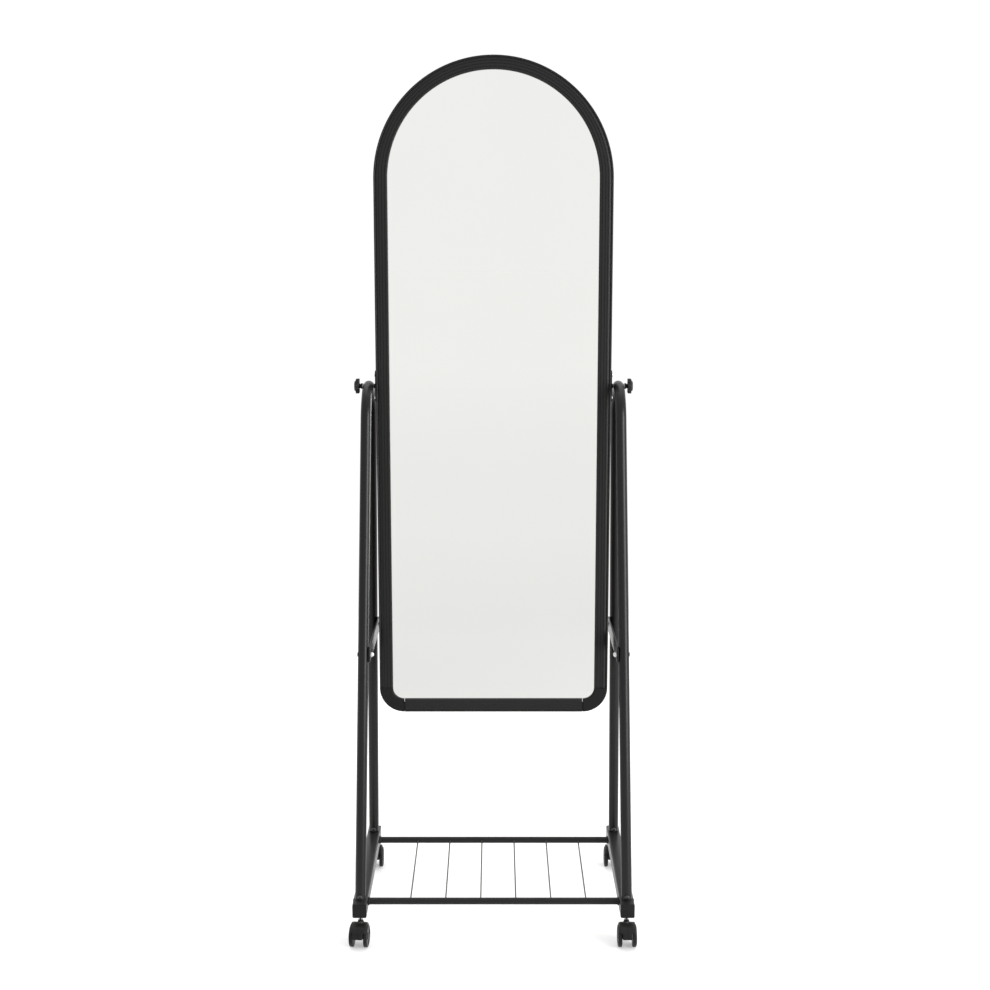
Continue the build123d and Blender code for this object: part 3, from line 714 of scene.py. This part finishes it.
# ================= pivots and clamp knobs =================
bracket_thickness, bracket_screw_reach = 1.5 * MM, 20 * MM
pan_seats = []
for side, side_name in ((-1, "left"), (1, "right")):
    def outwards(x, side=side):
        """A place on the tilt axis whose local Z points away from the mirror."""
        return facing((side * x, 0, pivot_height), (side, 0, 0))

    low, high = corners(f"pivot_bracket_{side_name}")
    strap = rounded_rectangle(high.y - low.y, high.z - low.z, 4 * MM)
    inner = min(abs(low.x), abs(high.x))
    strap_place = Matrix(((0, 0, side, side * inner), (1, 0, 0, 0), (0, 1, 0, pivot_height), (0, 0, 0, 1)))
    Skin().plate(strap, 0, bracket_thickness, 0.35 * MM, strap_place).piece(
        f"pivot_strap_{side_name}", tube_black, "mirror", f"pivot_bracket_{side_name}")
    for rise in (-bracket_screw_reach, bracket_screw_reach):
        seat = Vector((side * (inner + bracket_thickness), 0, pivot_height + rise))
        pan_seats.append((seat, (side, 0, 0)))

    low, high = corners(f"pivot_spacer_{side_name}")
    length = (high.x - low.x) / MM
    Skin().lathe(
        [(3.1, 0), (4.1, 0), (4.4, 0.3), (4.4, length - 0.3), (4.1, length), (3.1, length)],
        outwards(min(abs(low.x), abs(high.x))),
    ).piece(f"pivot_sleeve_{side_name}", moulded_black, "mirror", f"pivot_spacer_{side_name}")

    low, high = corners(f"knob_washer_{side_name}")
    Skin().lathe(
        [(3.05, 0), (5.4, 0), (5.6, 0.2), (5.6, 0.8), (5.4, 1.0), (3.05, 1.0)],
        outwards(min(abs(low.x), abs(high.x))),
    ).piece(f"washer_{side_name}", zinc, f"clamp_{side_name}", f"knob_washer_{side_name}")

    low, high = corners(f"clamp_stud_{side_name}")
    stud_start, stud_length = min(abs(low.x), abs(high.x)), (high.x - low.x) / MM
    thread = [(2.3, 0.0)]
    for turn in range(int(stud_length)):
        thread += [(2.5, turn + 0.15), (3.0, turn + 0.45), (3.0, turn + 0.6), (2.5, turn + 0.9)]
    thread.append((2.3, stud_length))
    Skin().lathe(thread, outwards(stud_start), steps=32).piece(
        f"threaded_stud_{side_name}", zinc, f"clamp_{side_name}", f"clamp_stud_{side_name}")

    low, high = corners(f"clamp_knob_{side_name}")
    knob_start, knob_length = min(abs(low.x), abs(high.x)), (high.x - low.x) / MM
    knob_skin = Skin()
    knob_skin.lathe([(3.2, 0), (5.0, 0), (5.2, 0.3), (5.2, 2.6), (4.9, 3.1), (4.0, 3.9), (3.9, 4.5),
                     (4.6, 5.4), (6.5, 6.1), (6.5, 6.6)], outwards(knob_start))
    lobes = []
    for step in range(144):
        angle = TURN * step / 144
        reach = 12.4 + 2.1 * math.cos(6 * angle)
        lobes.append((reach * math.cos(angle) * MM, reach * math.sin(angle) * MM))
    knob_skin.plate(lobes, 5.9 * MM, (knob_length - 2.6) * MM, 1.2 * MM, outwards(knob_start), steps=5)
    knob_skin.lathe([(9.6, knob_length - 3.0), (9.4, knob_length - 2.2), (9.0, knob_length - 0.9),
                     (8.4, knob_length - 0.3), (7.4, knob_length), (0, knob_length)], outwards(knob_start))
    knob_skin.piece(f"star_knob_{side_name}", knob_black, f"clamp_{side_name}", f"clamp_knob_{side_name}")
pan_small = screw_head("pan_small", 3.4, 1.6, "cross")
fastened("bracket_screw_heads", pan_seats, pan_small, zinc, "mirror", "bracket_screws")

# ================= leg arches =================
lean = math.atan2(foot_x - pivot_x, pivot_height - sill_top)
leg_run = (pivot_height - sill_top) / math.cos(lean)
foot_reach = math.hypot(foot_depth, top_bend - leg_run)
touch_angle = math.atan2(top_bend - leg_run, foot_depth) + math.acos(top_bend / foot_reach)
touch_depth = top_bend * math.cos(touch_angle)
touch_drop = top_bend * (1 - math.sin(touch_angle))
leg_slope = (foot_depth - touch_depth) / (leg_run - touch_drop)


def on_arch(side, depth, drop, offset=0.0):
    """A point of one arch: depth to the back, drop below the tilt axis, offset away from the mirror."""
    return Vector((
        side * (pivot_x + drop * math.sin(lean) + offset * math.cos(lean)),
        depth,
        pivot_height - drop * math.cos(lean) + offset * math.sin(lean),
    ))


def leg_depth(drop):
    """Distance of a leg from the middle plane at a drop below the tilt axis."""
    return touch_depth + leg_slope * (drop - touch_drop)


def leg_point(side, end, drop):
    """A point on the front (-1) or rear (1) leg of an arch."""
    return on_arch(side, end * leg_depth(drop), drop)


def arch_knots(side):
    """Bezier knots of one bent tube, from the front foot over the top bend to the rear foot."""
    foot_drop = leg_run + 1 * MM
    third = (foot_drop - touch_drop) / 3
    bend_parts = 6
    sweep_angle = TURN / 2 - 2 * touch_angle
    reach = 4 / 3 * math.tan(sweep_angle / bend_parts / 4) * top_bend
    knots = [(
        leg_point(side, -1, foot_drop),
        leg_point(side, -1, foot_drop + third),
        leg_point(side, -1, foot_drop - third),
    )]
    for part in range(bend_parts + 1):
        angle = TURN / 2 - touch_angle - sweep_angle * part / bend_parts
        point = (top_bend * math.cos(angle), top_bend * (1 - math.sin(angle)))
        tangent = (math.sin(angle), math.cos(angle))
        straight = third / math.cos(math.atan(leg_slope))
        before = straight if part == 0 else reach
        after = straight if part == bend_parts else reach
        knots.append((
            on_arch(side, *point),
            on_arch(side, point[0] - tangent[0] * before, point[1] - tangent[1] * before),
            on_arch(side, point[0] + tangent[0] * after, point[1] + tangent[1] * after),
        ))
    knots.append((
        leg_point(side, 1, foot_drop),
        leg_point(side, 1, foot_drop - third),
        leg_point(side, 1, foot_drop + third),
    ))
    return knots


button_seats = {"foot_bolts": [], "brace_bolts": [], "bar_screws": []}
nut_seats = []
for side, side_name in ((-1, "left"), (1, "right")):
    name = f"leg_tube_{side_name}"
    tube = tube_mesh(name, [arch_knots(side)], tube_radius, tube_black, sides=48, resolution=12)
    piece_from(tube, name, tube_black, "stand", f"leg_arch_{side_name}")

    # flat strap between the legs, on the side towards the mirror
    low, high = corners(f"leg_brace_{side_name}")
    strap_thickness, strap_width = 3 * MM, 28 * MM
    strap_offset = -tube_radius - strap_thickness
    strap_rise = (strap_offset + strap_thickness / 2) * math.sin(lean) - (low.z + high.z) / 2
    strap_drop = (pivot_height + strap_rise) / math.cos(lean)
    strap_reach = leg_depth(strap_drop)
    strap = rounded_rectangle(high.y - low.y, strap_width, 5 * MM)
    middle = on_arch(side, 0, strap_drop, strap_offset)
    away = on_arch(side, 0, 0, 1) - on_arch(side, 0, 0, 0)
    up = on_arch(side, 0, -1) - on_arch(side, 0, 0)
    strap_place = Matrix((
        (0, up.x, away.x, middle.x), (1, up.y, away.y, middle.y), (0, up.z, away.z, middle.z), (0, 0, 0, 1)
    ))
    Skin().plate(strap, 0, strap_thickness, 0.5 * MM, strap_place).piece(
        f"leg_strap_{side_name}", tube_black, "stand", f"leg_brace_{side_name}")
    for end in (-1, 1):
        outer_seat = on_arch(side, end * strap_reach, strap_drop, tube_radius + 0.2 * MM)
        button_seats["brace_bolts"].append((outer_seat, away))
        nut_seats.append((on_arch(side, end * strap_reach, strap_drop, strap_offset), -away))


def outer_seats(node, towards, head_height):
    """The seat of every screw of a node: under its head, at the end that a direction points to."""
    seats = []
    for low, high in solid_boxes(node):
        centre = (low + high) / 2
        direction = Vector(towards(centre))
        half = sum(abs(direction[axis]) * (high[axis] - low[axis]) / 2 for axis in range(3))
        seats.append((centre + direction * (half - head_height), direction))
    return seats


button_height = 2.6
button_seats["foot_bolts"] = outer_seats("foot_bolts", lambda centre: (0, -1, 0), button_height * MM)
button_seats["bar_screws"] = outer_seats(
    "bar_screws", lambda centre: (math.copysign(1, centre.x), 0, 0), button_height * MM)
button_head = screw_head("button_head", 4.6, button_height, "hexagon")
low_head = screw_head("low_head", 4.0, 0.9, "hexagon")
for node, head, finish in (
    ("foot_bolts", button_head, dull_zinc), ("brace_bolts", low_head, bolt_black),
    ("bar_screws", button_head, bolt_black),
):
    fastened(node + "_heads", button_seats[node], head, finish, "stand", node)

cap_nut = Skin().loft([
    clock_ring("circle", 3.9, 0.0), clock_ring("hexagon", 4.0, 0.3), clock_ring("hexagon", 4.0, 3.7),
    clock_ring("circle", 3.9, 4.05), clock_ring("circle", 3.7, 4.2), clock_ring("circle", 3.5, 5.0),
    clock_ring("circle", 2.9, 5.8), clock_ring("circle", 1.9, 6.3), clock_ring("circle", 0.8, 6.48),
    clock_ring("circle", 0.01, 6.5),
]).mesh("cap_nut")
fastened("strap_cap_nuts", nut_seats, cap_nut, zinc, "stand", "brace_cap_nuts")

# ================= sills =================
cap_skin = Skin()
socket_skin = Skin()
cap_thickness = 3 * MM
sill_outline = rounded_rectangle(sill_high.x - sill_low.x, sill_top - sill_bottom, 2.5 * MM)
sill_middle = (sill_top + sill_bottom) / 2
for side, side_name in ((-1, "left"), (1, "right")):
    low, high = corners(f"sill_{side_name}")
    middle_x = (low.x + high.x) / 2
    lengthwise = Matrix(((1, 0, 0, middle_x), (0, 0, 1, 0), (0, 1, 0, sill_middle), (0, 0, 0, 1)))
    Skin().plate(sill_outline, low.y, high.y, 0.2 * MM, lengthwise).piece(
        f"sill_tube_{side_name}", tube_black, "stand", f"sill_{side_name}")
    for face in (low.y - cap_thickness, high.y):
        cap_skin.plate(sill_outline, face, face + cap_thickness, 0.9 * MM, lengthwise)
cap_skin.piece("sill_plugs", moulded_black, "stand", "sill_end_caps")

# ================= shelf =================
def joined(name, *meshes):
    """Several meshes made into one."""
    work = bmesh.new()
    for mesh in meshes:
        work.from_mesh(mesh)
    result = bpy.data.meshes.new(name)
    work.to_mesh(result)
    work.free()
    return clean(result, merge=False)


bar_depth = {}
collar_step = 1.4 * MM
for place_name in ("front", "rear"):
    low, high = corners(f"shelf_bar_{place_name}")
    depth, height = (low.y + high.y) / 2, (low.z + high.z) / 2
    bar_radius = (high.z - low.z) / 2 - collar_step
    bar_depth[place_name] = depth
    bar = tube_mesh(f"bar_{place_name}", [straight_knots((low.x, depth, height), (high.x, depth, height))],
                    bar_radius, tube_black, sides=32, resolution=8)
    collars = Skin()
    for end in (-1, 1):
        collars.lathe(
            [(6.0, 0.05), (7.3, 0.05), (7.6, 0.4), (7.6, 2.0), (7.3, 2.4), (6.0, 2.5)],
            facing((end * high.x, depth, height), (-end, 0, 0)),
        )
    whole = joined(f"shelf_bar_{place_name}_look", bar, collars.mesh("collars"))
    piece_from(whole, f"shelf_tube_{place_name}", tube_black, "stand", f"shelf_bar_{place_name}")

wire_splines, weld_seats = [], []
bar_middle = sill_middle
for index, (low, high) in enumerate(solid_boxes("shelf_wires")):
    x = (low.x + high.x) / 2
    bow = Vector((0.0, 0.0, -0.5 * MM - 0.25 * MM * (index % 3)))
    front, rear = (x, bar_depth["front"], bar_middle), (x, bar_depth["rear"], bar_middle)
    wire_splines.append(straight_knots(front, rear, bow))
    for end, bar_place in ((1, front), (-1, rear)):
        weld_seats.append((Vector(bar_place) + Vector((0, end * 5.6 * MM, 0)), (0, end, 0)))
wires = tube_mesh("wires", wire_splines, 1.3 * MM, wire_coat, sides=16, resolution=16)
bead_rings = [clock_ring("circle", size, rise, steps=20)
              for size, rise in ((1.6, 0.0), (2.1, 0.5), (2.0, 1.0), (1.5, 1.5), (1.1, 1.9))]
beads = copied("weld_beads", weld_seats, Skin().loft(bead_rings).mesh("weld_bead"), wire_coat)
piece_from(joined("shelf_wires_look", wires, beads), "shelf_wire_row", wire_coat, "stand", "shelf_wires")

# ================= casters =================
caster_names = ("front_left", "front_right", "rear_left", "rear_right")
hood_edge, fender_edge = 22.5, 33.0
hood_inner_radius = 22.0
arc_steps = 40


# half sections of the hood and its fender: distance across, radius, and whether the hood is hollow there
hood_half = [(0.3, 23.7, True), (0.5, 24.0, True), (5.98, 24.0, True), (6.0, 24.0, False),
             (8.1, 24.0, False), (8.7, 23.6, False), (9.0, 22.9, False)]
fender_half = [(0.3, 23.8), (0.55, 24.1), (8.0, 24.0), (12.0, 23.85), (13.4, 23.6), (14.2, 23.0),
               (14.5, 22.2), (14.5, 21.1)]


def both_ways(half):
    """A half section and its mirror image, in order from one side to the other."""
    return [(-across, *rest) for across, *rest in reversed(half)] + half


def caster_arc(radius, height, trail, edge):
    """Points of an arc about the wheel axle, ended at a level edge, in the local Y and Z."""
    start = math.asin(min(1.0, (edge - height) / radius))
    angles = (start + (math.pi - 2 * start) * step / arc_steps for step in range(arc_steps + 1))
    return [(-trail + radius * math.cos(angle), height + radius * math.sin(angle)) for angle in angles]


for caster in caster_names:
    swivel = joints[f"caster_{caster}_swivel"]["pos_m"]
    roll = joints[f"wheel_{caster}_a_roll"]
    swing = math.atan2(roll["axis"][1], roll["axis"][0])
    place = Matrix.Translation((swivel[0], swivel[1], 0)) @ Matrix.Rotation(swing, 4, "Z")
    axle_height = roll["pos_m"][2] / MM
    trail = math.hypot(roll["pos_m"][0] - swivel[0], roll["pos_m"][1] - swivel[1]) / MM

    hood_skin = Skin()
    rings = []
    for across, radius, hollow in both_ways(hood_half):
        outer = caster_arc(radius, axle_height, trail, hood_edge)
        if hollow:
            inner = caster_arc(hood_inner_radius, axle_height, trail, hood_edge)[::-1]
        else:
            first, last = outer[-1], outer[0]
            inner = [(first[0] + (last[0] - first[0]) * (step + 1) / (arc_steps + 2), hood_edge)
                     for step in range(arc_steps + 1)]
        rings.append([(across * MM, y * MM, z * MM) for y, z in outer + inner])
    hood_skin.loft(rings, place)
    crown = both_ways(fender_half) + [(14.3, 20.95), (-14.3, 20.95)]
    columns = [caster_arc(radius, axle_height, trail, fender_edge) for across, radius in crown]
    hood_skin.loft([
        [(across * MM, column[step][0] * MM, column[step][1] * MM)
         for (across, radius), column in zip(crown, columns)]
        for step in range(arc_steps + 1)
    ], place)
    hood_skin.lathe([(3.0, 26.0), (4.8, 27.0), (4.8, 30.0), (7.2, 33.0), (6.6, 37.4), (5.6, 39.6),
                     (4.9, 41.4), (4.8, 43.0), (4.4, 43.5), (3.05, 43.5), (3.05, 42.0)], place)
    for side in (-1, 1):
        hub = place @ facing((side * 6 * MM, -trail * MM, axle_height * MM), (side, 0, 0))
        hood_skin.lathe([(2.6, 0), (6.3, 0), (6.5, 0.2), (6.5, 2.8), (6.3, 3.0), (2.6, 3.0)], hub)
    hood_skin.piece(f"caster_hood_{caster}", caster_black, f"caster_{caster}", f"caster_{caster}_hood")

    Skin().lathe([(2.6, 28.2), (3.0, 28.6), (3.0, 43.6), (3.8, 43.8), (3.8, 45.1), (3.0, 45.4), (3.0, 52.8),
                     (3.8, 53.2), (3.8, 70.2), (3.0, 71.0), (0, 71.0)], place).piece(
        f"caster_pin_{caster}", bright_steel, f"caster_{caster}", f"caster_{caster}_stem")

    for wheel, side in (("a", 1), ("b", -1)):
        face = place @ facing((side * 9.4 * MM, -trail * MM, axle_height * MM), (side, 0, 0))
        Skin().lathe([
            (2.6, 0), (18.9, 0), (19.6, 0.25), (19.95, 0.9), (20.0, 1.6), (20.0, 5.0), (19.8, 5.8),
            (19.3, 6.5), (18.5, 7.0), (17.6, 7.2), (16.7, 7.2), (16.3, 7.0), (16.0, 6.5), (15.5, 6.1),
            (7.4, 5.7), (6.7, 5.9), (6.3, 6.6), (5.8, 7.1), (5.0, 7.2), (1.6, 7.2), (1.3, 6.9), (0, 6.9),
        ], face, steps=96).piece(f"wheel_{caster}_{wheel}_look", caster_black, f"wheel_{caster}_{wheel}",
                                 f"caster_{caster}_wheel_{wheel}")

    socket_skin.lathe(
        [(3.9, 5.0), (3.9, 0.2), (4.1, 0), (7.6, 0), (8.0, 0.35), (8.0, 1.5), (5.4, 1.6), (5.4, 5.0)],
        place @ Matrix.Translation((0, 0, sill_bottom - 1.5 * MM)),
    )
socket_skin.piece("caster_bushes", moulded_black, "stand", "caster_sockets")

# ================= pieces kept as they are, with better finishes =================
kept = {"mirror_glass": silvered_glass, "backing_board": hardboard,
        "pivot_nut_left": zinc, "pivot_nut_right": zinc}
kept.update({f"caster_{caster}_axle": bright_steel for caster in caster_names})
for node, finish in kept.items():
    for material_slot in frame["nodes"][node].material_slots:
        material_slot.material = finish

# ================= stage, light and camera =================
floor_half = 40.0
backdrop_y, backdrop_half, backdrop_height = 2.2, 12.0, 14.0


def stage_sheet(name, material, outline):
    """One flat sheet of the stage."""
    sheet = bpy.data.meshes.new(name)
    sheet.from_pydata(outline, [], [(0, 1, 2, 3)])
    sheet.materials.append(material)
    in_scene(name, sheet)


floor_material, floor_shader = new_material("pale_floor", specular=0.1)
floor_tree = floor_material.node_tree
floor_place = floor_tree.nodes.new("ShaderNodeSeparateXYZ")
floor_tree.links.new(floor_tree.nodes.new("ShaderNodeTexCoord").outputs["Object"], floor_place.inputs[0])
# painted shade and light in the floor's colour: darkest just in front of the stand, a painted shade that the
# mirror shows darker towards its bottom, then paler the further it lies in front; palest under the stand,
# painted light that lifts the stand's shadows
forward = math_node(floor_tree, "SUBTRACT", -1.0, floor_place.outputs["Y"])
forward = math_node(floor_tree, "DIVIDE", forward, 10.0, clamp=True)
# mask of the painted light under the stand: 0 at 1.25 m in front, 1 from 0.55 m in front onwards
painted_light_under_stand = math_node(floor_tree, "ADD", floor_place.outputs["Y"], 1.25)
painted_light_under_stand = math_node(floor_tree, "DIVIDE", painted_light_under_stand, 0.7, clamp=True)
distance = math_node(floor_tree, "MAXIMUM", forward, painted_light_under_stand)
floor_ramp = floor_tree.nodes.new("ShaderNodeValToRGB")
stops = floor_ramp.color_ramp.elements
# ramp stops of the painted shade: darkest near the stand, paler further away
floor_tones_with_painted_shade = {0.0: 0.64, 0.04: 0.65, 0.09: 0.71, 0.26: 0.78, 0.69: 0.825, 1.0: 0.85}
for reach in list(floor_tones_with_painted_shade)[1:-1]:
    stops.new(reach)
for stop, (reach, tone) in zip(stops, floor_tones_with_painted_shade.items()):
    stop.position, stop.color = reach, (tone, tone, tone * 0.993, 1)
feed(floor_tree, floor_ramp, Fac=distance)
# painted light: the floor glows twice as strongly under the stand, washing out the stand's shadows
painted_glow = math_node(floor_tree, "MULTIPLY", math_node(floor_tree, "ADD", painted_light_under_stand, 1.0), 0.14)
feed(floor_tree, floor_shader, Base_Color=floor_ramp.outputs["Color"], Roughness=0.9,
     Emission_Color=(1, 1, 1, 1), Emission_Strength=painted_glow)
stage_sheet("studio_floor", floor_material, [
    (-floor_half, -floor_half, 0), (floor_half, -floor_half, 0), (floor_half, floor_half, 0),
    (-floor_half, floor_half, 0),
])

backdrop_material, backdrop_shader = new_material("white_backdrop", specular=0.0)
feed(backdrop_material.node_tree, backdrop_shader, Base_Color=(0, 0, 0, 1), Emission_Color=(1, 1, 1, 1),
     Emission_Strength=1.02)
stage_sheet("white_backdrop", backdrop_material, [
    (-backdrop_half, backdrop_y, 0), (backdrop_half, backdrop_y, 0),
    (backdrop_half, backdrop_y, backdrop_height), (-backdrop_half, backdrop_y, backdrop_height),
])

world = bpy.data.worlds.new("white_room")
bpy.context.scene.world = world
world.use_nodes = True
background = world.node_tree.nodes["Background"]
feed(world.node_tree, background, Color=(1.0, 1.0, 0.995, 1), Strength=0.975)


def softbox(name, place, target, width, height, watts, spread=180):
    """A rectangular studio light aimed at a point, with its spread in degrees."""
    light = bpy.data.lights.new(name, "AREA")
    light.shape = "RECTANGLE"
    light.size, light.size_y, light.energy = width, height, watts
    light.spread = math.radians(spread)
    lamp = bpy.data.objects.new(name, light)
    lamp.location = place
    aim = Vector(target) - Vector(place)
    lamp.rotation_euler = aim.to_track_quat("-Z", "Y").to_euler()
    bpy.context.collection.objects.link(lamp)


softbox("overhead_softbox", (0, 0.9, 3.2), (0, 0.9, 0), 3.0, 2.4, 24)
softbox("right_side_softbox", (1.95, -1.55, 1.0), (-0.1, 0, 0.8), 1.5, 2.0, 19.8, spread=85)

camera_data = bpy.data.cameras.new("camera")
camera_data.sensor_width = 36.0
camera_data.lens = 56.46
camera = bpy.data.objects.new("camera", camera_data)
camera.location = (0.0026, -2.770, 1.270)
camera.rotation_euler = (math.radians(90 - 9.89), 0, 0)
bpy.context.collection.objects.link(camera)
bpy.context.scene.camera = camera
bpy.context.scene.view_settings.view_transform = "Standard"
